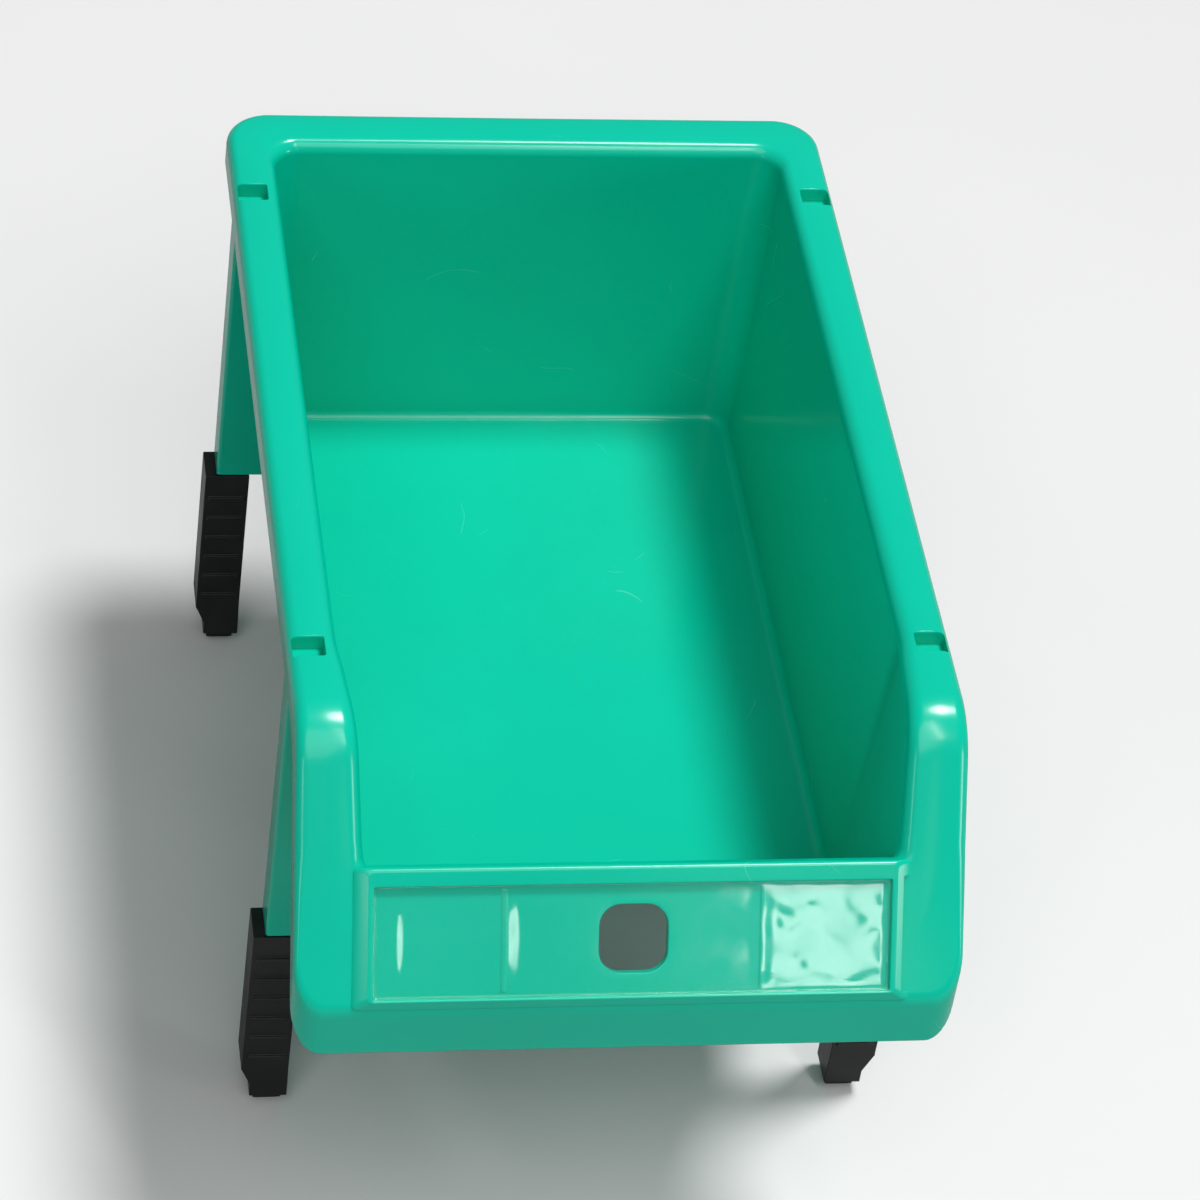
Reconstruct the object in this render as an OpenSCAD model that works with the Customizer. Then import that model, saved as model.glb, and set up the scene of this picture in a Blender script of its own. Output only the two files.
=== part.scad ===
// Stackable open-front storage bin with a slide-in label cover and four stacking posts.
// X is the width, Y the depth (open front towards -Y), Z up. Millimetres.
// The bin stands on the tongues of its four posts; the same tongues drop into the
// rim slots of the bin below.

/* [Bin] */

// width over the rim
rim_w = 200; // [120:1:400]
// depth from the rear of the rim to the front of the lip
rim_l = 340; // [180:1:500]
// height of the moulding, rim top to underside of the base
bin_h = 118; // [60:1:250]
// wall thickness
wall = 2.6; // [1.5:0.1:5]
// floor thickness
floor_t = 3; // [2:0.1:6]
// width of the rim flange along the sides
flange_w = 15; // [10:0.5:30]
// width of the rim flange along the rear
rear_flange_w = 18; // [10:0.5:30]
// height of the skirt turned down from the rim
skirt_h = 12; // [6:0.5:25]
// inward lean of each side wall from rim to floor
side_draft = 4; // [0:0.5:12]
// inward lean of the rear wall from rim to floor
rear_draft = 5; // [0:0.5:12]
// plan radius of the rear rim corners
rear_r = 14; // [4:1:40]
// plan radius of the front lip corners
front_r = 9; // [3:1:30]
// plan radius of the inside corners at the rear
inner_r = 9; // [3:1:30]

/* [Front] */

// distance from the bend of the rim forward to the lip
lip_y = 49; // [20:1:120]
// drop from the rim to the lower end of the sloping face
slope_z = 71; // [30:1:150]
// height of the upright band under the sloping face
band_h = 18; // [5:0.5:40]
// radius of the bend between rim and sloping face
bend_r = 20; // [5:1:40]
// distance down the slope to the top of the label panel
panel_s0 = 43; // [20:1:90]
// distance down the slope to the bottom of the label panel
panel_s1 = 86; // [50:1:140]
// width of the raised label panel
panel_w = 166; // [80:1:300]
// height of the panel above the sloping face
panel_raise = 2.2; // [1:0.1:5]
// depth from the bend back to the front edge of the floor
floor_front = 38; // [10:1:120]
// inward turn of the side walls between the crease and the panel
gusset_in = 4; // [0:0.5:20]
// depth from the bend back to the crease in the side wall
crease_y = 42; // [20:1:120]
// side of the push-out hole
hole_w = 20.5; // [8:0.5:40]
// corner radius of the push-out hole
hole_r = 6.5; // [1:0.5:10]

/* [Label cover] */

// width of the label window
window_w = 154; // [60:1:280]
// height of the label window along the slope
window_h = 33.5; // [12:0.5:60]
// distance down the slope to the middle of the window
window_s = 65.5; // [30:0.5:120]
// thickness of the clear cover
cover_t = 0.5; // [0.3:0.1:1.5]

/* [Stacking posts] */

// clear height between one bin's rim and the base above it
post_gap = 74; // [10:1:150]
// length of the tongue that enters the rim slot below
foot_h = 5; // [4:0.5:20]
// length of the tongue that slides up into the bin's own sleeve
head_h = 40; // [10:1:80]
// width of a rim slot
slot_w = 9.6; // [5:0.1:20]
// length of a rim slot
slot_l = 8; // [4:0.1:20]
// thickness of the web between a rim slot and the sleeve under it
web_t = 2; // [1:0.1:5]
// distance of the slot centres from the middle of the bin
slot_x = 93.8; // [50:0.1:190]
// distance of the front slots behind the bend
slot_front = 32; // [15:0.5:120]
// distance of the rear slots in front of the rear edge
slot_rear = 44; // [15:0.5:120]
// clearance of the tongues in the slots, each side
fit = 0.3; // [0.1:0.05:0.6]

/* [Hidden] */

$fn = 64;
eps = 0.01;
base_z = foot_h + post_gap;
top_z = base_z + bin_h;
rear_y = rim_l / 2;
front_y = -rim_l / 2;
bend_y = front_y + lip_y;
fit_y0 = bend_y + slot_front;
fit_y1 = rear_y - slot_rear;
in_w = rim_w / 2 - flange_w;
in_rear = rear_y - rear_flange_w;
floor_z = base_z + floor_t;
depth = top_z - floor_z;
slope_y = lip_y;
slope_l = sqrt(slope_y * slope_y + slope_z * slope_z);
slope_a = atan2(slope_z, slope_y);
sleeve_w = 2 * (rim_w / 2 - 0.2 - slot_x);
sleeve_l = slot_l + 5;
post_w = 15;
post_l = 13;
post_x = 95.5;

// a profile drawn in the Y-Z plane, swept over the width w
module sweep_x(w) {
    translate([-w / 2, 0, 0]) rotate([90, 0, 90]) linear_extrude(w) children();
}

// everything under the rim surface, moved d inward, with the rounded bend
module side_region(d) {
    a = slope_a;
    r = bend_r - d;
    t = bend_r * tan(a / 2);
    c = [bend_y + t, top_z - bend_r];
    n = [-sin(a), cos(a)];
    foot = [front_y + d, top_z - slope_z - d * cos(a) + d * (1 - sin(a)) * tan(a)];
    union() {
        polygon([[rear_y + 1, top_z - d], [c[0], top_z - d],
                 [c[0], top_z - bend_r], c + r * n,
                 foot, [front_y + d, top_z - slope_z - band_h - 60],
                 [rear_y + 1, top_z - slope_z - band_h - 60]]);
        translate(c) circle(r = r);
    }
}

// plan outline of the rim, moved d inward
module plan(d) {
    for (s = [-1, 1]) {
        translate([s * (rim_w / 2 - rear_r), rear_y - rear_r]) circle(r = rear_r - d);
        translate([s * (rim_w / 2 - front_r), front_y + front_r]) circle(r = front_r - d);
    }
    square([rim_w - 2 * rear_r, 2 * (rear_y - d)], center = true);
    translate([-rim_w / 2 + d, front_y + front_r]) square([rim_w - 2 * d, rim_l - rear_r - front_r]);
    translate([-rim_w / 2 + front_r, front_y + d]) square([rim_w - 2 * front_r, front_r]);
}

// inclined frame: x across, y up the slope from its lower end, z outward
module on_slope() {
    translate([0, bend_y, top_z]) rotate([slope_a, 0, 0])
        translate([0, -slope_l, 0]) children();
}

// side profile of the storage space, moved d outward; up adds the open top
module cavity_profile(d, up) {
    n = [-sin(slope_a), cos(slope_a)];
    p = [bend_y - panel_s0 * cos(slope_a), top_z - panel_s0 * sin(slope_a)] - 2 * n;
    fa = atan2(p[1] - floor_z, bend_y + floor_front - p[0]);
    fn = [-sin(fa), -cos(fa)];
    polygon([[in_rear + d, top_z + up], [in_rear + d, top_z],
             [in_rear - rear_draft + d, floor_z - d],
             [bend_y + floor_front - d * tan(fa / 2), floor_z - d],
             p + d * fn, p + d * fn + (up > 0 ? 60 * n : [0, 0]), [bend_y, top_z + up]]);
}

// the storage space itself, moved d outward
module cavity(d, up) {
    w = in_w + d;
    k = (side_draft) / depth;
    top = top_z + up;
    difference() {
        intersection() {
            sweep_x(2 * w + 40) cavity_profile(d, up);
            translate([0, rear_y, 0]) rotate([90, 0, 0]) linear_extrude(rim_l + 60)
                polygon([[-w - k * up, top], [w + k * up, top],
                         [w - side_draft, floor_z - d], [-w + side_draft, floor_z - d]]);
            translate([0, 0, base_z - 5]) linear_extrude(bin_h + up + 10) {
                translate([-w - 2, front_y - 60])
                    square([2 * w + 4, in_rear + d + 2 - front_y + 60]);
            }
        }
        for (s = [-1, 1]) gusset(s, d);
        for (s = [-1, 1]) inner_corner(s, d);
    }
}

// wedge that turns the side wall inward in front of the crease
module gusset(s, d) {
    a = atan2(gusset_in, crease_y + panel_s0 * cos(slope_a));
    translate([s * (in_w + d), bend_y + crease_y, floor_z - 20])
        rotate([0, s * atan2(side_draft, depth), s * -a])
            translate([s > 0 ? 0 : -40, -140, -10]) cube([40, 140, bin_h + 80]);
}

// leaves the vertical rear corner of the storage space rounded
module inner_corner(s, d) {
    x = in_w + d;
    y = in_rear + d;
    r = inner_r + d;
    mirror([s < 0 ? 1 : 0, 0, 0]) translate([x - r, y - r, top_z])
        rotate([-atan2(rear_draft, depth), atan2(side_draft, depth), 0])
            difference() {
                translate([0, 0, -bin_h - 8]) cube([r + 9, r + 9, bin_h + 60]);
                translate([0, 0, -bin_h - 9]) cylinder(r = r, h = bin_h + 62);
            }
}

module rim() {
    intersection() {
        union() {
            sweep_x(rim_w + 2) difference() {
                side_region(0);
                side_region(wall);
            }
            intersection() {
                sweep_x(rim_w + 2) difference() {
                    side_region(0);
                    side_region(skirt_h);
                }
                linear_extrude(top_z + 1) difference() {
                    plan(0);
                    plan(wall);
                }
            }
        }
        translate([0, 0, top_z - slope_z - band_h]) linear_extrude(bin_h) plan(0);
    }
}

// raised frame that carries the label and its clear cover
module panel() {
    h = panel_s1 - panel_s0;
    r = 2.2;
    intersection() {
        panel_block(h, r);
        translate([-panel_w, front_y, 0]) cube([2 * panel_w, rim_l, top_z]);
    }
}

module panel_block(h, r) {
    on_slope() translate([0, slope_l - panel_s1, 0]) {
        translate([-panel_w / 2, 0, -wall]) cube([panel_w, h - r, wall + panel_raise]);
        translate([-panel_w / 2, h - r, -wall])
            cube([panel_w, r, wall + panel_raise - r]);
        translate([-panel_w / 2, h - r, panel_raise - r]) rotate([0, 90, 0])
            cylinder(r = r, h = panel_w);
    }
}

// window, undercut for the cover, exit slot on the right, push-out hole
module label_cuts() {
    z0 = panel_raise - 0.8;
    mid = slope_l - window_s;
    on_slope() translate([0, mid, 0]) {
        translate([-window_w / 2, -window_h / 2, z0 - eps]) cube([window_w, window_h, 5]);
        translate([-window_w / 2 - 1, -window_h / 2 - 1, 0.2])
            cube([window_w + 20, window_h + 2, 1.2]);
        translate([0, 0, -10]) linear_extrude(20) union() {
            square([hole_w, hole_w - 2 * hole_r], center = true);
            square([hole_w - 2 * hole_r, hole_w], center = true);
            for (x = [-1, 1], y = [-1, 1])
                translate([x, y] * (hole_w / 2 - hole_r)) circle(r = hole_r);
        }
    }
}

// low ribs across the label window that stiffen the panel from behind
module panel_ribs() {
    for (x = [-1, 1])
        on_slope() translate([x * window_w / 4 - 1, slope_l - panel_s1 + 1, -wall - 2.5])
            cube([2, panel_s1 - panel_s0 - 6, 3]);
}

// sleeves under the rim slots: each takes a post from below
module sleeves() {
    for (s = [-1, 1], y = [fit_y0, fit_y1])
        translate([s * (slot_x - 3), y, (base_z + top_z) / 2])
            cube([sleeve_w + 6, sleeve_l, bin_h - 0.5], center = true);
}

// shallow rim slots for the feet above, and the channels of the sleeves below
module slots() {
    slot_d = foot_h + fit;
    for (s = [-1, 1], y = [fit_y0, fit_y1]) translate([s * slot_x, y, 0]) {
        translate([-slot_w / 2, -slot_l / 2, top_z - slot_d])
            cube([slot_w, slot_l, slot_d + 5]);
        translate([-slot_w / 2, -slot_l / 2, base_z - 5])
            cube([slot_w, slot_l, bin_h - slot_d - web_t + 5]);
    }
}

module bin_shell() color("#00b488") {
    difference() {
        union() {
            intersection() {
                cavity(wall, 0);
                sweep_x(rim_w) side_region(0);
            }
            rim();
            panel();
            panel_ribs();
            sleeves();
        }
        cavity(0, 40);
        slots();
        label_cuts();
        translate([0, (bend_y + floor_front + in_rear) / 2 - 2, base_z - eps])
            cube([2 * (in_w - 11), in_rear - bend_y - floor_front - 26, 1.2], center = true);
    }
}

module label_cover() color("#d8ece8") {
    mid = slope_l - window_s;
    on_slope() translate([0, mid, 0.2 + (1.2 - cover_t) / 2]) {
        translate([-window_w / 2 - 0.6, -window_h / 2 - 0.6, 0])
            cube([window_w + 1.2, window_h + 1.2, cover_t]);
    }
}

// one stacking post standing at the middle of its slot, outer face towards +X
module post() {
    body_x = post_x - slot_x;
    tw = slot_w - 2 * fit;
    tl = slot_l - 2 * fit;
    rib = 0.8;
    // tongues above and below, with chamfered ends
    translate([-tw / 2, -tl / 2, 1]) cube([tw, tl, base_z + head_h - 2]);
    translate([-tw / 2 + 0.8, -tl / 2 + 0.8, 0]) cube([tw - 1.6, tl - 1.6, base_z + head_h]);
    // body, full width above the foot
    translate([body_x - post_w / 2, -post_l / 2, foot_h + 12])
        cube([post_w, post_l, post_gap - 12 - fit]);
    // waisted foot that stands on the rim below
    rotate([90, 0, 0]) translate([0, 0, -post_l / 2]) linear_extrude(post_l)
        polygon([[-6, foot_h], [6, foot_h], [6, foot_h + 5],
                 [body_x + post_w / 2, foot_h + 12.5], [body_x - post_w / 2, foot_h + 12.5],
                 [-6, foot_h + 5]]);
    // grip ribs on the outer and front faces
    for (i = [0:5])
        translate([body_x - post_w / 2 + 1.5, -post_l / 2 - rib, foot_h + 18 + i * 9])
            cube([post_w - 3, post_l + 2 * rib, 1.6]);
}

module place_post(sx, y) {
    translate([sx * slot_x, y, 0]) mirror([sx < 0 ? 1 : 0, 0, 0]) post();
}

module post_front_left() color("#101112") place_post(-1, fit_y0);
module post_front_right() color("#101112") place_post(1, fit_y0);
module post_rear_left() color("#101112") place_post(-1, fit_y1);
module post_rear_right() color("#101112") place_post(1, fit_y1);

bin_shell();
label_cover();
post_front_left();
post_front_right();
post_rear_left();
post_rear_right();
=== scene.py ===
import bpy
import bmesh
import math
from mathutils import Vector, Matrix


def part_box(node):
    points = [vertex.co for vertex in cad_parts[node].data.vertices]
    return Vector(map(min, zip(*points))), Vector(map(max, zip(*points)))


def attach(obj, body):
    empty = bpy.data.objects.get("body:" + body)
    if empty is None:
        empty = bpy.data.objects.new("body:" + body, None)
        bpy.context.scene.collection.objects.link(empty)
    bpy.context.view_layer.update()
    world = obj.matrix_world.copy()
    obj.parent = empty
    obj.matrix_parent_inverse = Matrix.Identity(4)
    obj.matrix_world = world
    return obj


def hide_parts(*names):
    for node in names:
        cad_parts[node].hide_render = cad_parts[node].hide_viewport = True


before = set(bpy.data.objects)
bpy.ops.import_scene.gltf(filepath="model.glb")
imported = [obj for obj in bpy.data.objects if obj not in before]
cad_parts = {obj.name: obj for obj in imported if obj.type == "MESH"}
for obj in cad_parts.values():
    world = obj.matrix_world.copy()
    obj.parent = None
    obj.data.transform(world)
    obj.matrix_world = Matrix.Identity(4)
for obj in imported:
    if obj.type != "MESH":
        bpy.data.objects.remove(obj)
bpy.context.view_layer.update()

# ---------------------------------------------------------------- dimensions in millimetres
MM = 0.001                       # metres in a millimetre
LO, HI = [Vector(v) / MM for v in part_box("bin_shell")]
RIM_X, REAR, FRONT, TOP, BASE = HI.x, HI.y, LO.y, HI.z, LO.z

# the sloping label face: its depth, its height, the bend of the rim above it
FACE_RUN, FACE_DROP = 49.0, 71.0
BEND = FRONT + FACE_RUN
SLOPE = math.atan2(FACE_DROP, FACE_RUN)
BEND_R = 20.0
BEND_BLEND = 14.0                # the skirt deepens this far before and after the bend

# walls, floor and rim flange
WALL, FLOOR_T = 2.6, 2.75
SIDE_RIM, REAR_RIM = 15.0, 18.0
IN_X, IN_REAR = RIM_X - SIDE_RIM, REAR - REAR_RIM
FLOOR_X, FLOOR_REAR = IN_X - 4.0, IN_REAR - 5.0     # the walls lean in by this much
FLOOR_Z = BASE + FLOOR_T
CREASE, FLOOR_FRONT = BEND + 42.0, BEND + 38.0
FLOOR_MID = Vector((0, (FLOOR_FRONT + FLOOR_REAR) / 2, FLOOR_Z))
CROWN = 0.6                      # height of the soft crown along the rim flange
SIDE_SKIRT, FRONT_SKIRT = 12.0, 18.0                # height of the turned-down edge
BOW = 0.7                        # how far the walls bow out half way up
FLOOR_STEP, BASE_STEP = 5.0, 8.0                    # width of the flat strip at the floor's edge
BASE_LIFT = 1.2                  # the base is hollow by this much inside that strip
FAN = (0.25, 0.6)                # rows of points between the middle of the floor and its edge

# rounding radii in plan
RIM_REAR_R, RIM_FRONT_R = 14.0, 9.0
INNER_R, PANEL_R = 9.0, 3.0
FLOOR_REAR_R, FLOOR_FRONT_R = 9.0, 8.0
CHEEK_TURN = -62                 # degrees of the floor corner that the side cheeks use up
FRONT_SHIFT = 6.0                # how far the inner points move while the rim turns its corner

# rounding radii in section; pairs hold the value at the sides and at the front
FLOOR_IN_R, FLOOR_OUT_R = 3.2, 5.0
RIM_IN_R, RIM_OUT_R = (4.8, 3.6), (4.2, 8.5)
CROWN_R, LIP_R = 60.0, 0.9
UNDER_OUT_R, UNDER_IN_R = 1.8, 2.0

# label panel and push-out hole; S is measured down the face from the bend
PANEL_TOP_S, PANEL_END_S, PANEL_HALF_W = 43.0, 85.6, 83.0
PANEL_X = IN_X - 1.2 - 4.0
WIN_S, WIN_HALF_W, WIN_HALF_S = 65.5, 77.0, 16.75
HOLE_H, HOLE_R = 10.25, 6.5
RIB_X = 38.5                     # ribs behind the film, left and right of the middle

# rim slots and the sleeves under them
SLOT_X, SLOT_W, SLOT_L, SLOT_D, SLOT_R = 93.8, 9.6, 8.0, 5.3, 0.7
WEB_T = 2.0                      # between a slot and the sleeve under it
SLEEVE_HALF_L, SLEEVE_R = 6.5, 1.2
FIT_Y = (BEND + 32.0, REAR - 44.0)

CLOSE = 2e-6                     # metres: points nearer than this are one point
EDGE_ANGLE = math.radians(80)    # the posts' edges sharper than this are rounded
SHARP_ANGLE = math.radians(38)   # edges of the bin sharper than this are not shaded over

DN = Vector((0, -math.cos(SLOPE), -math.sin(SLOPE)))   # down the label face
OUT = Vector((0, -math.sin(SLOPE), math.cos(SLOPE)))   # out of the label face
BEND_P = Vector((0, BEND, TOP))
PANEL_TOP_Y = BEND + PANEL_TOP_S * DN.y


# ---------------------------------------------------------------- small helpers
def lerp(a, b, t):
    return a + (b - a) * t


def smooth(a, b, t):
    """0 before a, 1 after b, and an even ease between them."""
    t = min(1.0, max(0.0, (t - a) / (b - a)))
    return t * t * (3 - 2 * t)


def facing(v, side):
    """v, turned round if it points away from side."""
    return -v if v.dot(side) < 0 else v


def on_arc(cx, cy, r, a):
    return (cx + r * math.cos(a), cy + r * math.sin(a))


def on_face(x, s, o):
    """Point on the label face: x across, s down the slope, o outward."""
    return Vector((x, 0, 0)) + BEND_P + DN * s + OUT * o


def upright(x, y, z):
    return Vector((x, y, z))


def fillet(a, b, c, r, n, before=0.45, after=0.45):
    """n + 1 points of an arc that rounds the corner b between a and c.

    before and after are the most of the way to a and to c that it may take up."""
    u, v = (a - b).normalized(), (c - b).normalized()
    half = u.angle(v) / 2
    t = min(r / math.tan(half), before * (a - b).length, after * (c - b).length)
    r = t * math.tan(half)
    mid = (u + v).normalized()
    cen = b + mid * (r / math.sin(half))
    p, q = b + u * t - cen, b + v * t - cen
    ang = p.angle(q)
    out = []
    for i in range(n + 1):
        f = i / n
        w = (math.sin((1 - f) * ang) * p + math.sin(f * ang) * q) / math.sin(ang)
        out.append(cen + w)
    return out


# ---------------------------------------------------------------- rim surface
ARC_Y, ARC_Z = BEND + BEND_R * math.tan(SLOPE / 2), TOP - BEND_R


def rim_at(y):
    """Height and normal of the rim surface at depth y."""
    if y >= ARC_Y:
        return TOP, Vector((0, 0, 1))
    y_end = ARC_Y - BEND_R * math.sin(SLOPE)
    if y > y_end:
        a = math.asin((ARC_Y - y) / BEND_R)
        return ARC_Z + BEND_R * math.cos(a), Vector((0, -math.sin(a), math.cos(a)))
    return TOP - (BEND - y) * math.tan(SLOPE), OUT.copy()


def arc_ys(y0, y1, n, steps=600):
    """n depths from y0 to y1, spaced evenly along the rim surface."""
    fine = [y0 + (y1 - y0) * i / steps for i in range(steps + 1)]
    pts = [(y, rim_at(y)[0]) for y in fine]
    run = [0.0]
    for p, q in zip(pts, pts[1:]):
        run.append(run[-1] + math.hypot(q[0] - p[0], q[1] - p[1]))
    out, j = [], 0
    for i in range(n):
        want = run[-1] * i / (n - 1)
        while j < steps - 1 and run[j + 1] < want:
            j += 1
        f = (want - run[j]) / max(1e-9, run[j + 1] - run[j])
        out.append(pts[j][0] + f * (pts[j + 1][0] - pts[j][0]))
    return out


# ---------------------------------------------------------------- plan of the bin
# A station holds three points in plan, on the outer rim (o), the inner rim (i) and the corner
# of the floor (f), and front: 0 along the sides, 1 along the front edge. t runs from 0 to 1.
def floor_corner(turn):
    """Point on the front corner of the floor, turn degrees round it."""
    return on_arc(FLOOR_X - FLOOR_FRONT_R, FLOOR_FRONT + FLOOR_FRONT_R, FLOOR_FRONT_R,
                  math.radians(turn))


def rear_edge(t):
    return dict(o=(lerp(0, RIM_X - RIM_REAR_R, t), REAR),
                i=(lerp(0, IN_X - INNER_R, t), IN_REAR),
                f=(lerp(0, FLOOR_X - FLOOR_REAR_R, t), FLOOR_REAR), front=0)


def rear_corner(t):
    a = math.pi / 2 * (1 - t)
    return dict(o=on_arc(RIM_X - RIM_REAR_R, REAR - RIM_REAR_R, RIM_REAR_R, a),
                i=on_arc(IN_X - INNER_R, IN_REAR - INNER_R, INNER_R, a),
                f=on_arc(FLOOR_X - FLOOR_REAR_R, FLOOR_REAR - FLOOR_REAR_R, FLOOR_REAR_R, a),
                front=0)


def side_edge(t):
    return dict(o=(RIM_X, lerp(REAR - RIM_REAR_R, CREASE, t)),
                i=(IN_X, lerp(IN_REAR - INNER_R, CREASE, t)),
                f=(FLOOR_X, lerp(FLOOR_REAR - FLOOR_REAR_R, FLOOR_FRONT + FLOOR_FRONT_R, t)),
                front=0)


def cheek(t, y):
    """Side cheek: the rim comes down over the bend while the floor turns its corner."""
    turn = (CREASE - y) / (CREASE - PANEL_TOP_Y)
    return dict(o=(RIM_X, y), i=(lerp(IN_X, PANEL_X, turn * smooth(0, 0.25, turn)), y),
                f=floor_corner(lerp(0, CHEEK_TURN, t)), front=0)


def panel_corner(t):
    return dict(o=(RIM_X, lerp(PANEL_TOP_Y + PANEL_R, FRONT + RIM_FRONT_R, t)),
                i=on_arc(PANEL_X - PANEL_R, PANEL_TOP_Y + PANEL_R, PANEL_R, -math.pi / 2 * t),
                f=floor_corner(lerp(CHEEK_TURN, -90, t)), front=0.5 * smooth(0, 1, t))


def front_corner(t):
    x1, x2 = PANEL_X - PANEL_R, FLOOR_X - FLOOR_FRONT_R
    return dict(o=on_arc(RIM_X - RIM_FRONT_R, FRONT + RIM_FRONT_R, RIM_FRONT_R, -math.pi / 2 * t),
                i=(lerp(x1, x1 - FRONT_SHIFT, t), PANEL_TOP_Y),
                f=(lerp(x2, x2 - FRONT_SHIFT, t), FLOOR_FRONT), front=0.5 + 0.5 * smooth(0, 1, t))


def front_edge(t):
    return dict(o=(lerp(RIM_X - RIM_FRONT_R, 0, t), FRONT),
                i=(lerp(PANEL_X - PANEL_R - FRONT_SHIFT, 0, t), PANEL_TOP_Y),
                f=(lerp(FLOOR_X - FLOOR_FRONT_R - FRONT_SHIFT, 0, t), FLOOR_FRONT), front=1)


def stations():
    """Right half of the bin, from the middle of the rear to the middle of the front."""
    st = []
    for n, stretch in ((10, rear_edge), (12, rear_corner), (26, side_edge)):
        st += [stretch(k / n) for k in range(n)]
    ys = arc_ys(CREASE, PANEL_TOP_Y + PANEL_R, 30)
    st += [cheek(k / (len(ys) - 1), y) for k, y in enumerate(ys[:-1])]
    for n, stretch in ((8, panel_corner), (10, front_corner), (14, front_edge)):
        st += [stretch(k / n) for k in range(n)]
    return st + [front_edge(1)]


def whole(st):
    """Mirror the right half onto the left and return one closed loop."""
    left = []
    for s in st[1:-1][::-1]:
        left.append(dict(o=(-s["o"][0], s["o"][1]), i=(-s["i"][0], s["i"][1]),
                         f=(-s["f"][0], s["f"][1]), front=s["front"]))
    return st + left


# ---------------------------------------------------------------- section of the bin
def solve(n1, d1, n2, d2, along):
    """Step that goes d1 along n1 and d2 along n2 and nowhere along the third direction."""
    return Matrix((n1, n2, along)).inverted() @ Vector((d1, d2, 0.0))


def direction(points, k):
    """Which way a closed row of points runs at its point k."""
    return (points[(k + 1) % len(points)] - points[k - 1]).normalized()


def bowed(a, b, steps, push):
    """Points on the way from a to b, pushed out most in the middle."""
    return [lerp(a, b, t) + push * math.sin(math.pi * t) for t in steps]


def profile(front, o, i, f, to, ti, tf):
    """Section at one station: middle of the floor, up the inside, over the rim, down the
    outside and back under the floor. to, ti and tf are the directions of the three rows."""
    out_o = facing(Vector((-to.y, to.x, 0)).normalized(), Vector((o.x, o.y - FLOOR_MID.y, 0)))
    no, ni = rim_at(o.y)[1], rim_at(i.y)[1]
    up = (i - f).normalized()
    wi = facing(ti.cross(up).normalized(), o - i)
    wf = facing(tf.cross(up).normalized(), f - FLOOR_MID)
    inward = Vector((-wf.x, -wf.y, 0)).normalized()
    skirt = lerp(SIDE_SKIRT, FRONT_SKIRT, smooth(BEND + BEND_BLEND, BEND - BEND_BLEND, o.y))
    sk = o - Vector((0, 0, skirt))
    sk2 = sk - out_o * WALL
    o2 = o + solve(out_o, -WALL, no, -WALL, to)
    i2 = i + solve(wi, WALL, ni, -WALL, ti)
    f2 = f + solve(wf, WALL, Vector((0, 0, 1)), -FLOOR_T, tf)
    top = lerp(i, o, 0.5) + (ni + no).normalized() * CROWN * (1 - 0.85 * front)
    push = wi * (BOW * (1 - front))
    inner = f + inward * FLOOR_STEP
    under = f2 + inward * BASE_STEP
    last = under + inward * BASE_LIFT + Vector((0, 0, BASE_LIFT))
    mid = Vector((0, FLOOR_MID.y, last.z))

    pts = [lerp(FLOOR_MID, inner, t) for t in FAN] + [inner]
    pts += fillet(inner, f, i, FLOOR_IN_R, 6, 0.9)
    pts += bowed(f, i, (0.3, 0.5, 0.7, 0.88), push)
    pts += fillet(f, i, top, lerp(*RIM_IN_R, front), 7, 0.45, 0.62)
    pts += fillet(i, top, o, CROWN_R, 4, 0.3, 0.3)
    pts += fillet(top, o, sk, lerp(*RIM_OUT_R, front), 8, 0.62, 0.47)
    pts += fillet(o, sk, sk2, LIP_R, 3)
    pts += fillet(sk, sk2, o2, LIP_R, 3)
    pts += fillet(sk2, o2, i2, UNDER_OUT_R, 3)
    pts += fillet(o2, i2, f2, UNDER_IN_R, 3)
    pts += bowed(i2, f2, (0.12, 0.3, 0.5, 0.7), push)
    pts += fillet(i2, f2, under, FLOOR_OUT_R, 5)
    return pts + [under, last] + [lerp(mid, last, t) for t in FAN[::-1]]


def shell_rings():
    st = whole(stations())
    rows = []
    for row in ("o", "i"):
        rows.append([Vector((*s[row], rim_at(s[row][1])[0] - CROWN * (1 - s["front"])))
                     for s in st])
    rows.append([Vector((*s["f"], FLOOR_Z)) for s in st])
    rings = []
    for k, s in enumerate(st):
        points = [row[k] for row in rows]
        rings.append(profile(s["front"], *points, *[direction(row, k) for row in rows]))
    return rings


# ---------------------------------------------------------------- mesh building
def finish_mesh(name, bm):
    """A smooth-shaded object in the scene from a bmesh, with its normals outward."""
    bmesh.ops.remove_doubles(bm, verts=bm.verts, dist=1e-6)
    bmesh.ops.recalc_face_normals(bm, faces=bm.faces)
    me = bpy.data.meshes.new(name)
    bm.to_mesh(me)
    bm.free()
    ob = bpy.data.objects.new(name, me)
    bpy.context.scene.collection.objects.link(ob)
    for p in me.polygons:
        p.use_smooth = True
    return ob


def loft_object(name, rings):
    """Closed loop of profiles, capped by a fan of faces at each end."""
    bm = bmesh.new()
    grid = [[bm.verts.new(p * MM) for p in r] for r in rings]
    n, m = len(grid), len(grid[0])
    for i in range(n):
        a, b = grid[i], grid[(i + 1) % n]
        for j in range(m - 1):
            bm.faces.new((a[j], a[j + 1], b[j + 1], b[j]))
    for j, order in ((0, 1), (m - 1, -1)):
        loop = [g[j] for g in grid]
        mid = bm.verts.new(sum((v.co for v in loop), Vector()) / n)
        for i in range(n):
            bm.faces.new((mid, loop[i], loop[(i + 1) % n])[::order])
    return finish_mesh(name, bm)


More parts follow.
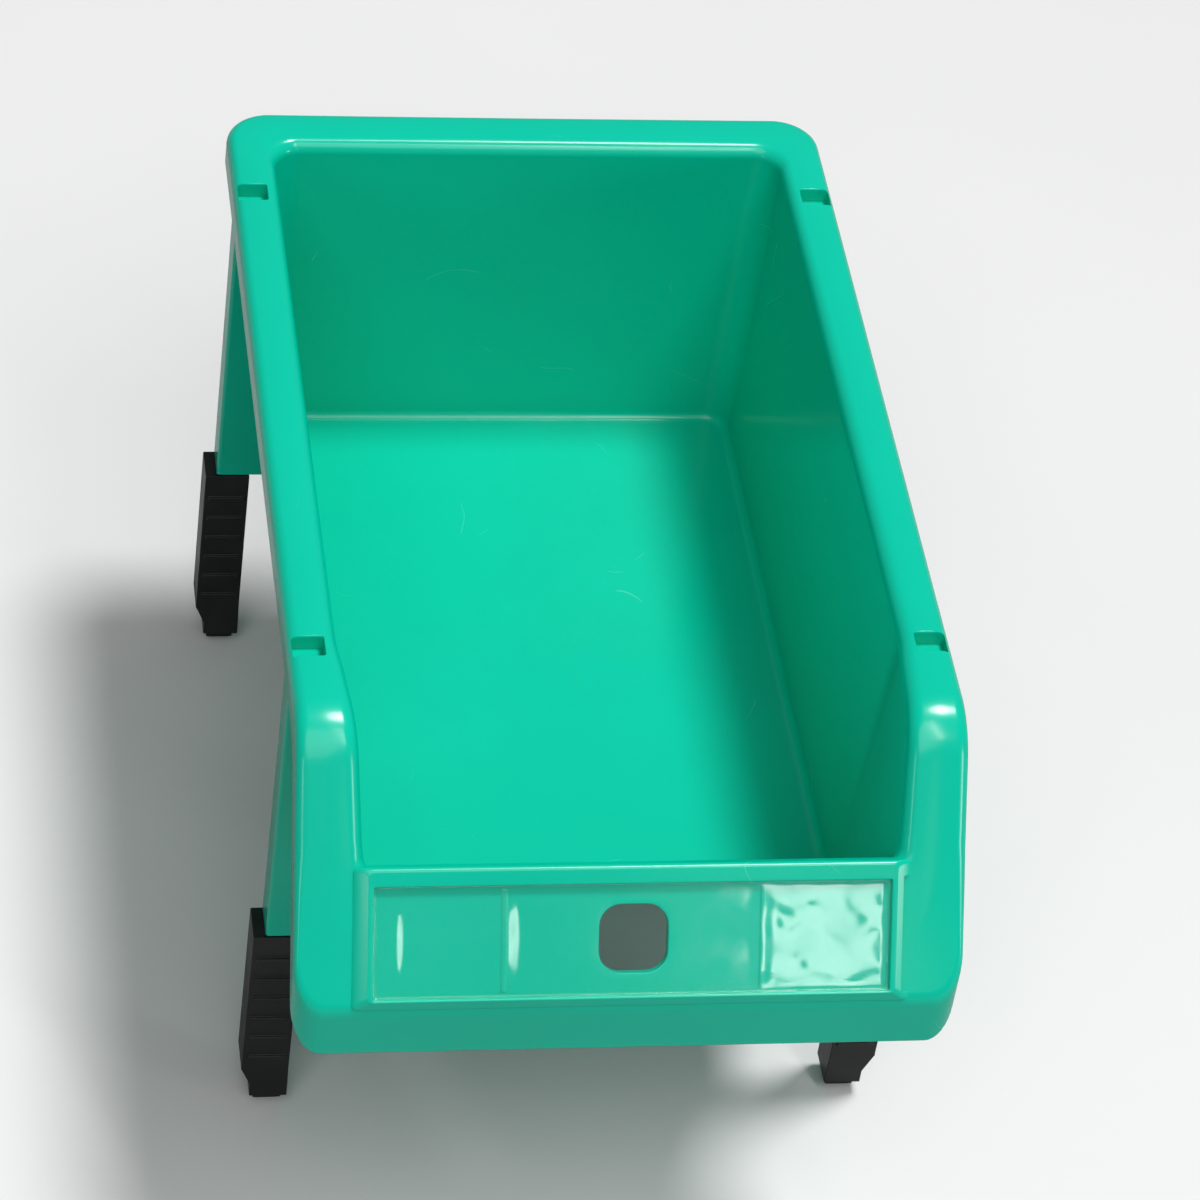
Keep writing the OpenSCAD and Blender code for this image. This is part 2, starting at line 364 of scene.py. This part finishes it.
def round_rect(hx, hy, r, k=6, sides=6):
    """Closed outline of a rounded rectangle with a fixed number of points."""
    pts = []
    corners = ((1, 1, 0), (-1, 1, 90), (-1, -1, 180), (1, -1, 270))
    for c, (sx, sy, a0) in enumerate(corners):
        for i in range(k + 1):
            pts.append(on_arc(sx * (hx - r), sy * (hy - r), r, math.radians(a0 + 90 * i / k)))
        nx, ny, _ = corners[(c + 1) % 4]
        p = pts[-1]
        q = on_arc(nx * (hx - r), ny * (hy - r), r, math.radians(a0 + 90))
        for i in range(1, sides):
            pts.append((lerp(p[0], q[0], i / sides), lerp(p[1], q[1], i / sides)))
    return pts


def ring(hx, hy, r, z):
    return [(x, y, z) for x, y in round_rect(hx, hy, r)]


def skin(bm, rows):
    """Faces between each row of vertices and the next."""
    for a, b in zip(rows, rows[1:]):
        n = len(a)
        for i in range(n):
            bm.faces.new((a[i], a[(i + 1) % n], b[(i + 1) % n], b[i]))


def prism(bm, rings, place):
    """Solid through equal rings of (x, y, z), each point put in its place by a function."""
    rows = [[bm.verts.new(place(*p) * MM) for p in r] for r in rings]
    skin(bm, rows)
    bm.faces.new(rows[0][::-1])
    bm.faces.new(rows[-1])


def boolean(ob, cutter, op="DIFFERENCE"):
    """Cut a solid out of ob, or join it on, and clean the mesh."""
    mod = ob.modifiers.new(op.lower(), "BOOLEAN")
    mod.operation, mod.solver, mod.object = op, "EXACT", cutter
    dg = bpy.context.evaluated_depsgraph_get()
    me = bpy.data.meshes.new_from_object(ob.evaluated_get(dg))
    ob.modifiers.remove(mod)
    bm = bmesh.new()
    bm.from_mesh(me)
    bmesh.ops.remove_doubles(bm, verts=bm.verts, dist=CLOSE)
    bmesh.ops.dissolve_degenerate(bm, edges=bm.edges, dist=CLOSE)
    bmesh.ops.dissolve_verts(bm, verts=[v for v in bm.verts if len(v.link_edges) == 2])
    bm.to_mesh(me)
    bm.free()
    old = ob.data
    ob.data = me
    bpy.data.meshes.remove(old)
    bpy.data.objects.remove(cutter)


def shade(ob):
    """Smooth shading that keeps its true corners."""
    ob.data.set_sharp_from_angle(angle=SHARP_ANGLE)
    ob.modifiers.new("normals", "WEIGHTED_NORMAL").keep_sharp = True
    return ob


def soften(ob):
    """Rounds the edges of a carried-over CAD solid, whose triangles are joined first."""
    ob.modifiers.new("join", "WELD").merge_threshold = CLOSE
    flat = ob.modifiers.new("flat", "DECIMATE")
    flat.decimate_type, flat.angle_limit = "DISSOLVE", math.radians(1)
    edge = ob.modifiers.new("edge", "BEVEL")
    edge.width, edge.segments, edge.limit_method = 0.35 * MM, 3, "ANGLE"
    edge.angle_limit = EDGE_ANGLE
    edge.use_clamp_overlap = False
    edge.harden_normals = True


# ---------------------------------------------------------------- bin shell
def fittings():
    """Side and depth of each of the four slots and sleeves."""
    return [(sx, y) for sx in (-1, 1) for y in FIT_Y]


def sleeves():
    """Solid sleeves that hang from the rim; each level is inner x, outer x and height."""
    levels = ((82.2, 99.3, BASE + 0.3), (84.3, 99.3, (BASE + TOP) / 2),
              (86.2, 99.3, TOP - 9), (86.4, 97.8, TOP - 2.8))
    bm = bmesh.new()
    for sx, y in fittings():
        rings = []
        for x0, x1, z in levels:
            cx = sx * (x1 + x0) / 2
            rings.append([(px + cx, py + y, z)
                          for px, py, _ in ring((x1 - x0) / 2, SLEEVE_HALF_L, SLEEVE_R, z)])
        prism(bm, rings, upright)
    return finish_mesh("sleeves", bm)


def shell_cutters():
    """Slots with rounded lips, the channels under them, and the way through the panel."""
    # growth of the outline and height, from the bottom up
    slot = ((0.0, TOP - SLOT_D), (0.0, TOP - 0.8), (0.05, TOP - 0.55), (0.18, TOP - 0.3),
            (0.38, TOP - 0.12), (0.66, TOP), (1.0, TOP + 0.1), (1.0, TOP + 5))
    channel = ((0.0, BASE - 5), (0.0, TOP - SLOT_D - WEB_T))
    bm = bmesh.new()
    for sx, y in fittings():
        at = Vector((sx * SLOT_X, y, 0))
        for cut in (slot, channel):
            prism(bm, [ring(SLOT_W / 2 + g, SLOT_L / 2 + g, SLOT_R + g, z) for g, z in cut],
                  lambda px, py, z, at=at: Vector((px + at.x, py + at.y, z)))
    prism(bm, [ring(HOLE_H + 0.4, HOLE_H + 0.4, HOLE_R, z) for z in (-12, 12)],
          lambda x, s, z: on_face(x, WIN_S + s, z))
    return finish_mesh("cutters", bm)


def build_shell():
    shell = loft_object("bin_moulding", shell_rings())
    boolean(shell, sleeves(), "UNION")
    boolean(shell, shell_cutters())
    return shell


# ---------------------------------------------------------------- label frame
# heights over the label face: back of the frame, its first visible edge, its top, the floor
# of the recess and the undercut that holds the film
BACK_Z, FOOT_Z, RAISE, RECESS_Z, UNDERCUT_Z = -2.6, 0.25, 2.2, 0.2, 1.4
UNDERCUT = 0.9                   # how far the undercut reaches under the window's edge
FRAME_R = 1.6


def outline(half_w, top, bottom, r, z):
    """Rounded rectangle on the label face, z over it."""
    return [(x, (top + bottom) / 2 + s, z) for x, s in round_rect(half_w, (bottom - top) / 2, r)]


def face_end(z):
    """How far down the face a point z over it may lie and still be behind the front plane."""
    return (BEND - FRONT - 0.05 + OUT.y * z) / -DN.y


def frame_side(z):
    """Outside of the frame: wide bevels left and right, a round at the top."""
    side = 4.3 * ((z - FOOT_Z) / (RAISE - FOOT_Z)) ** 1.15
    lift = max(0.0, z - 0.7) / (RAISE - 0.7)
    top = 1.5 * (1 - math.sqrt(max(0.0, 1 - lift * lift)))
    return outline(PANEL_HALF_W - side, PANEL_TOP_S + top, min(PANEL_END_S, face_end(z)),
                   FRAME_R, z)


def window(g, r, z):
    return outline(WIN_HALF_W + g, WIN_S - WIN_HALF_S - g, WIN_S + WIN_HALF_S + g, r, z)


def hole(g, z):
    h = HOLE_H + g
    return outline(h, WIN_S - h, WIN_S + h, HOLE_R + min(g, 2.0), z)


def frame_rings():
    """From the back edge round the outside, in at the window and through the hole."""
    rings = [outline(PANEL_HALF_W, PANEL_TOP_S, PANEL_END_S, FRAME_R, BACK_Z)]
    for z in (FOOT_Z, 0.5, 0.8, 1.1, 1.4, 1.65, 1.85, 2.0, 2.1, 2.17, RAISE):
        rings.append(frame_side(z))
    for g, r, z in ((0.5, 0.9, RAISE), (0.15, 0.6, 2.05), (0.0, 0.5, 1.7), (0.0, 0.5, 1.45),
                    (UNDERCUT, 0.5, UNDERCUT_Z), (UNDERCUT, 0.5, RECESS_Z),
                    (0.3, 0.4, RECESS_Z), (-1.2, 0.4, RECESS_Z)):
        rings.append(window(g, r, z))
    for g, z in ((2.2, RECESS_Z), (0.6, RECESS_Z), (0.18, 0.08), (0.0, -0.3), (0.0, -3.0),
                 (0.5, -3.2), (3.0, -3.2)):
        rings.append(hole(g, z))
    rings.append(outline(PANEL_HALF_W - 0.2, PANEL_TOP_S + 0.2, PANEL_END_S - 0.2, 1.5, BACK_Z))
    return rings


def exit_slot():
    """The way out for the film, through the right end of the frame."""
    bm = bmesh.new()
    prism(bm, [ring(7, WIN_HALF_S + UNDERCUT, 0.3, z) for z in (RECESS_Z, UNDERCUT_Z)],
          lambda x, s, z: on_face(x + WIN_HALF_W + 5, WIN_S + s, z))
    return finish_mesh("exit_slot", bm)


def ribs():
    """Two low ribs across the recess, behind the film."""
    bm = bmesh.new()
    for sx in (-1, 1):
        rib = [ring(w, WIN_HALF_S - 2.1 + w, 0.14, z)
               for z, w in ((-0.5, 0.9), (0.38, 0.8), (0.5, 0.55), (0.55, 0.2))]
        prism(bm, rib, lambda x, s, z, at=sx * RIB_X: on_face(x + at, WIN_S + s, z))
    return finish_mesh("ribs", bm)


def build_frame():
    """Raised label holder: bevelled frame, undercut window and push-out hole."""
    bm = bmesh.new()
    rows = [[bm.verts.new(on_face(*p) * MM) for p in r] for r in frame_rings()]
    skin(bm, rows + rows[:1])
    ob = finish_mesh("label_frame", bm)
    boolean(ob, exit_slot())
    boolean(ob, ribs(), "UNION")
    for p in ob.data.polygons:
        above = (p.center / MM - BEND_P).dot(OUT)
        p.use_smooth = abs(above - RECESS_Z) > 0.01   # the recess floor is truly flat
    return ob


# ---------------------------------------------------------------- clear cover
FILM_HALF_W, FILM_HALF_S, FILM_T = 77.3, 17.3, 0.3
FILM_Z = 0.74                    # height of the film's middle over the label face
FILM_NX, FILM_NS = 140, 28
# ridges across the film: place, height, how much lower they are at the film's edges, width
RIDGES = ((-RIB_X, 0.34, 0.55, 3.4), (RIB_X, 0.12, 0.0, 2.2), (-71.5, 0.34, 0.4, 2.8))


def film_height(x, s):
    """Height of the film's middle layer, s from its middle line: waves, ridges and curls."""
    v = s / FILM_HALF_S
    wave = 0.030 * math.sin(x * 0.07 + 0.6) + 0.012 * math.sin(x * 0.19 + s * 0.13)
    wave += 0.010 * math.sin(s * 0.33 + x * 0.06 + 1.0)
    for at, height, fall, width in RIDGES:
        wave += height * (1 - fall * v * v) * math.exp(-((x - at) / width) ** 2)
    mottle = math.sin(x * 0.62 + 1.6 * math.sin(s * 0.41))
    mottle += math.sin(s * 0.73 + 1.2 * math.sin(x * 0.37))
    wave += 0.012 * mottle * smooth(28, 40, x)
    curl = 0.18 * smooth(FILM_HALF_W - 2.4, FILM_HALF_W, abs(x)) + 0.12 * smooth(0.9, 1.0, abs(v))
    return FILM_Z + wave * (1 - v ** 4) + curl


def build_cover():
    """Two wavy skins, joined round the edge."""
    xs = [FILM_HALF_W * (2 * i / FILM_NX - 1) for i in range(FILM_NX + 1)]
    ss = [FILM_HALF_S * (2 * j / FILM_NS - 1) for j in range(FILM_NS + 1)]
    bm = bmesh.new()
    a, b = [[[bm.verts.new(on_face(x, WIN_S + s, film_height(x, s) + off) * MM) for s in ss]
             for x in xs] for off in (FILM_T / 2, -FILM_T / 2)]
    for g in (a, b):
        for i in range(FILM_NX):
            for j in range(FILM_NS):
                bm.faces.new((g[i][j], g[i + 1][j], g[i + 1][j + 1], g[i][j + 1]))
    rim = ([(i, 0) for i in range(FILM_NX)] + [(FILM_NX, j) for j in range(FILM_NS)]
           + [(i, FILM_NS) for i in range(FILM_NX, 0, -1)] + [(0, j) for j in range(FILM_NS, 0, -1)])
    for (i, j), (k, m) in zip(rim, rim[1:] + rim[:1]):
        bm.faces.new((a[i][j], a[k][m], b[k][m], b[i][j]))
    return finish_mesh("cover_film", bm)


# ---------------------------------------------------------------- shader helpers
def new_mat(name):
    m = bpy.data.materials.new(name)
    m.use_nodes = True
    return m, m.node_tree, m.node_tree.nodes["Principled BSDF"]


def coords(nt):
    return nt.nodes.new("ShaderNodeTexCoord").outputs["Object"]


def noise(nt, coord, scale, detail=4.0, rough=0.55, stretch=None):
    n = nt.nodes.new("ShaderNodeTexNoise")
    n.inputs["Scale"].default_value = scale
    n.inputs["Detail"].default_value = detail
    n.inputs["Roughness"].default_value = rough
    src = coord
    if stretch:
        mp = nt.nodes.new("ShaderNodeMapping")
        mp.inputs["Scale"].default_value = stretch
        nt.links.new(coord, mp.inputs["Vector"])
        src = mp.outputs["Vector"]
    nt.links.new(src, n.inputs["Vector"])
    return n.outputs["Fac"]


def ramp(nt, fac, stops):
    """Colour ramp; each stop is a position and a grey or a colour."""
    r = nt.nodes.new("ShaderNodeValToRGB")
    e = r.color_ramp.elements
    while len(e) < len(stops):
        e.new(0.5)
    for k, (p, c) in enumerate(stops):
        e[k].position = p
        e[k].color = (*c, 1) if isinstance(c, tuple) else (c, c, c, 1)
    nt.links.new(fac, r.inputs["Fac"])
    return r.outputs["Color"]


def feed(nt, socket, value):
    """Link a socket to another node's output, or set it to a number or a colour."""
    if isinstance(value, (int, float)):
        socket.default_value = value
    elif isinstance(value, tuple):
        socket.default_value = (*value, 1)
    else:
        nt.links.new(value, socket)


def math_node(nt, op, a, b):
    n = nt.nodes.new("ShaderNodeMath")
    n.operation = op
    feed(nt, n.inputs[0], a)
    feed(nt, n.inputs[1], b)
    return n.outputs[0]


def mix_rgb(nt, fac, a, b):
    n = nt.nodes.new("ShaderNodeMix")
    n.data_type = "RGBA"
    for k, value in ((0, fac), (6, a), (7, b)):      # the colour sockets of this node are 6 and 7
        feed(nt, n.inputs[k], value)
    return n.outputs[2]


def bump(nt, height, strength, dist, under=None):
    b = nt.nodes.new("ShaderNodeBump")
    b.inputs["Strength"].default_value = strength
    b.inputs["Distance"].default_value = dist
    nt.links.new(height, b.inputs["Height"])
    if under:
        nt.links.new(under, b.inputs["Normal"])
    return b.outputs["Normal"]


def hairlines(nt, co, scale, width, gate_scale, gate):
    """Thin curved scuffs: a narrow band of a broad noise, shown in patches."""
    n = noise(nt, co, scale, 1.0, 0.4)
    d = math_node(nt, "ABSOLUTE", math_node(nt, "SUBTRACT", n, 0.5), 0)
    line = math_node(nt, "SUBTRACT", 1.0, math_node(nt, "DIVIDE", d, width))
    line = math_node(nt, "MAXIMUM", line, 0.0)
    show = ramp(nt, noise(nt, co, gate_scale, 2.0), [(gate, 0.0), (gate + 0.06, 1.0)])
    return math_node(nt, "MULTIPLY", line, show)


def looked_at(nt):
    """1 for a ray that has bounced off nothing, straight or through clear film, else 0."""
    path = nt.nodes.new("ShaderNodeLightPath").outputs
    bounces = math_node(nt, "ADD", path["Diffuse Depth"], path["Glossy Depth"])
    return math_node(nt, "LESS_THAN", bounces, 0.5)


# ---------------------------------------------------------------- materials
GREEN_DARK, GREEN, GREEN_LIGHT = (0.0, 0.505, 0.337), (0.0, 0.55, 0.372), (0.0, 0.58, 0.393)
SCUFF = (0.20, 0.76, 0.60)
BLACK_DARK, BLACK = (0.006, 0.006, 0.007), (0.016, 0.016, 0.017)
FILM_DARK, FILM_LIGHT = (0.975, 0.99, 0.985), (0.99, 1.0, 0.995)


def green_plastic():
    """Glossy moulded polypropylene: clouded colour, flow lines, uneven gloss and fine scuffs."""
    m, nt, bs = new_mat("green_pp")
    co = coords(nt)
    cloud = noise(nt, co, 9.0, 3.0)
    flow = noise(nt, co, 5.0, 5.0, 0.6, (1.0, 0.25, 1.0))
    base = ramp(nt, cloud, [(0.3, GREEN_DARK), (0.72, GREEN)])
    base = mix_rgb(nt, ramp(nt, flow, [(0.35, 0.0), (0.75, 0.25)]), base, GREEN_LIGHT)
    scuff = math_node(nt, "MAXIMUM", hairlines(nt, co, 12.0, 0.0009, 21.0, 0.615),
                      hairlines(nt, co, 27.0, 0.0014, 33.0, 0.63))
    base = mix_rgb(nt, math_node(nt, "MULTIPLY", scuff, 0.35), base, SCUFF)
    nt.links.new(base, bs.inputs["Base Color"])
    rough = ramp(nt, noise(nt, co, 16.0, 5.0, 0.6), [(0.3, 0.16), (0.75, 0.25)])
    rough = math_node(nt, "ADD", rough, math_node(nt, "MULTIPLY", scuff, 0.25))
    nt.links.new(rough, bs.inputs["Roughness"])
    bs.inputs["IOR"].default_value = 1.46
    bs.inputs["Specular IOR Level"].default_value = 0.42
    ripple = bump(nt, noise(nt, co, 26.0, 2.0, 0.4), 0.10, 0.0012)
    grain = bump(nt, noise(nt, co, 420.0, 3.0), 0.03, 0.0001, ripple)
    nt.links.new(bump(nt, scuff, -0.25, 0.0001, grain), bs.inputs["Normal"])
    return m


def black_plastic():
    """Satin black plastic with a fine grain."""
    m, nt, bs = new_mat("black_pp")
    co = coords(nt)
    base = ramp(nt, noise(nt, co, 60.0, 5.0), [(0.3, BLACK_DARK), (0.75, BLACK)])
    nt.links.new(base, bs.inputs["Base Color"])
    rough = ramp(nt, noise(nt, co, 90.0, 6.0), [(0.3, 0.32), (0.75, 0.48)])
    nt.links.new(rough, bs.inputs["Roughness"])
    nt.links.new(bump(nt, noise(nt, co, 900.0, 2.0), 0.12, 0.0002), bs.inputs["Normal"])
    bs.inputs["IOR"].default_value = 1.49
    return m


def clear_film():
    """Clear flexible film, a little uneven in gloss."""
    m, nt, bs = new_mat("clear_film")
    co = coords(nt)
    tint = ramp(nt, noise(nt, co, 40.0, 4.0), [(0.3, FILM_DARK), (0.8, FILM_LIGHT)])
    nt.links.new(tint, bs.inputs["Base Color"])
    rough = ramp(nt, noise(nt, co, 120.0, 5.0), [(0.35, 0.03), (0.8, 0.10)])
    nt.links.new(rough, bs.inputs["Roughness"])
    bs.inputs["Transmission Weight"].default_value = 1.0
    bs.inputs["IOR"].default_value = 1.46
    nt.links.new(bump(nt, noise(nt, co, 45.0, 2.0), 0.06, 0.001), bs.inputs["Normal"])
    return m


def studio_floor():
    """Pale to look at, and darker in the light that it throws back up at the bin."""
    m, nt, bs = new_mat("studio_floor")
    grain = noise(nt, coords(nt), 3.0, 3.0)
    base = mix_rgb(nt, looked_at(nt), ramp(nt, grain, [(0.3, 0.36), (0.8, 0.39)]),
                   ramp(nt, grain, [(0.3, 0.74), (0.8, 0.77)]))
    nt.links.new(base, bs.inputs["Base Color"])
    bs.inputs["Roughness"].default_value = 0.75
    return m


def dress(ob, mat):
    ob.data.materials.clear()
    ob.data.materials.append(mat)


# ---------------------------------------------------------------- assembly
green, black, clear = green_plastic(), black_plastic(), clear_film()

shell = shade(build_shell())
dress(shell, green)
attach(shell, "shell")
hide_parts("bin_shell")

holder = shade(build_frame())
dress(holder, green)
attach(holder, "shell")

film = build_cover()
film.visible_shadow = False
film.visible_diffuse = False
dress(film, clear)
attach(film, "cover")
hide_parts("label_cover")

for name in ("post_front_left", "post_front_right", "post_rear_left", "post_rear_right"):
    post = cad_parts[name]
    dress(post, black)
    soften(post)


# ---------------------------------------------------------------- camera
AZ, EL, ROLL = math.radians(-13.3), math.radians(42.2), math.radians(-8.7)
DIST, LENS, SENSOR, CLIP_END = 1.484, 142.0, 36.0, 50.0
TARGET = Vector((0.007, -0.021, 0.151))
BACK = Vector((math.sin(AZ) * math.cos(EL), -math.cos(AZ) * math.cos(EL), math.sin(EL)))
EYE = TARGET + BACK * DIST


def add_camera():
    right = (-BACK).cross(Vector((0, 0, 1))).normalized()
    down = (-BACK).cross(right).normalized()
    across = math.cos(ROLL) * right + math.sin(ROLL) * down
    upward = math.sin(ROLL) * right - math.cos(ROLL) * down
    data = bpy.data.cameras.new("camera")
    data.sensor_width, data.lens, data.clip_end = SENSOR, LENS, CLIP_END
    cam = bpy.data.objects.new("camera", data)
    bpy.context.scene.collection.objects.link(cam)
    turn = Matrix((across, upward, BACK)).transposed().to_4x4()
    cam.matrix_world = Matrix.Translation(EYE) @ turn
    bpy.context.scene.camera = cam


# ---------------------------------------------------------------- studio
GROUND_HALF = 4.0
WHITE, HORIZON = (1.0, 1.0, 1.0, 1), (0.86, 0.86, 0.86, 1)
SKY_LIGHT = 0.14                 # the light that the surroundings give is lower than they look


def add_ground():
    bm = bmesh.new()
    bmesh.ops.create_grid(bm, x_segments=40, y_segments=40, size=GROUND_HALF)
    ground = finish_mesh("floor", bm)
    dress(ground, studio_floor())


def add_world():
    world = bpy.data.worlds.new("studio")
    bpy.context.scene.world = world
    world.use_nodes = True
    tree = world.node_tree
    sky = tree.nodes["Background"]
    sky.inputs["Color"].default_value = WHITE
    sky.inputs["Strength"].default_value = SKY_LIGHT
    horizon = tree.nodes.new("ShaderNodeBackground")
    horizon.inputs["Color"].default_value = HORIZON
    pick = tree.nodes.new("ShaderNodeMixShader")
    tree.links.new(looked_at(tree), pick.inputs[0])
    tree.links.new(sky.outputs[0], pick.inputs[1])
    tree.links.new(horizon.outputs[0], pick.inputs[2])
    tree.links.new(pick.outputs[0], tree.nodes["World Output"].inputs["Surface"])
    bpy.context.scene.view_settings.view_transform = "Standard"


def place_light(name, data, loc, toward):
    """Put a lamp at loc so that it shines along toward."""
    ob = bpy.data.objects.new(name, data)
    ob.location = loc
    ob.rotation_euler = toward.to_track_quat("-Z", "Y").to_euler()
    bpy.context.scene.collection.objects.link(ob)


def sun(name, origin, width, power):
    """Sun that shines from the direction of origin; width is its size in degrees."""
    data = bpy.data.lights.new(name, "SUN")
    data.energy, data.angle = power, math.radians(width)
    place_light(name, data, Vector(origin) * 2, -Vector(origin))


def softbox(name, loc, aim, size, power):
    """Rectangular lamp at loc that faces aim; size is its width and height in metres."""
    data = bpy.data.lights.new(name, "AREA")
    data.shape, data.energy = "RECTANGLE", power
    data.size, data.size_y = size
    place_light(name, data, loc, Vector(aim) - Vector(loc))


def mirrored(name, hit, normal, size, power, reach=1.5):
    """Softbox placed where the camera sees it mirrored at one point."""
    to_cam = (EYE - hit).normalized()
    bounce = 2 * normal.dot(to_cam) * normal - to_cam
    softbox(name, hit + bounce * reach, hit, size, power)


def add_lights():
    sun("key", (0.27, 0.10, 0.96), 13, 2.25)
    sun("fill", (-0.10, -0.62, 0.78), 45, 0.95)
    softbox("strip_right", (1.38, -1.03, 0.47), (0.08, -0.16, 0.14), (0.22, 0.26), 2.4)
    softbox("strip_left", (-1.00, -1.35, 0.69), (-0.08, -0.16, 0.14), (0.1, 0.24), 0.8)
    mirrored("film_light", on_face(57.0, WIN_S, 0.9) * MM, OUT, (0.075, 0.085), 0.12)
    mirrored("rim_light", Vector((58.0, IN_REAR, TOP)) * MM, Vector((0, -1, 1)).normalized(),
             (0.09, 0.75), 3.0)


add_ground()
add_world()
add_camera()
add_lights()
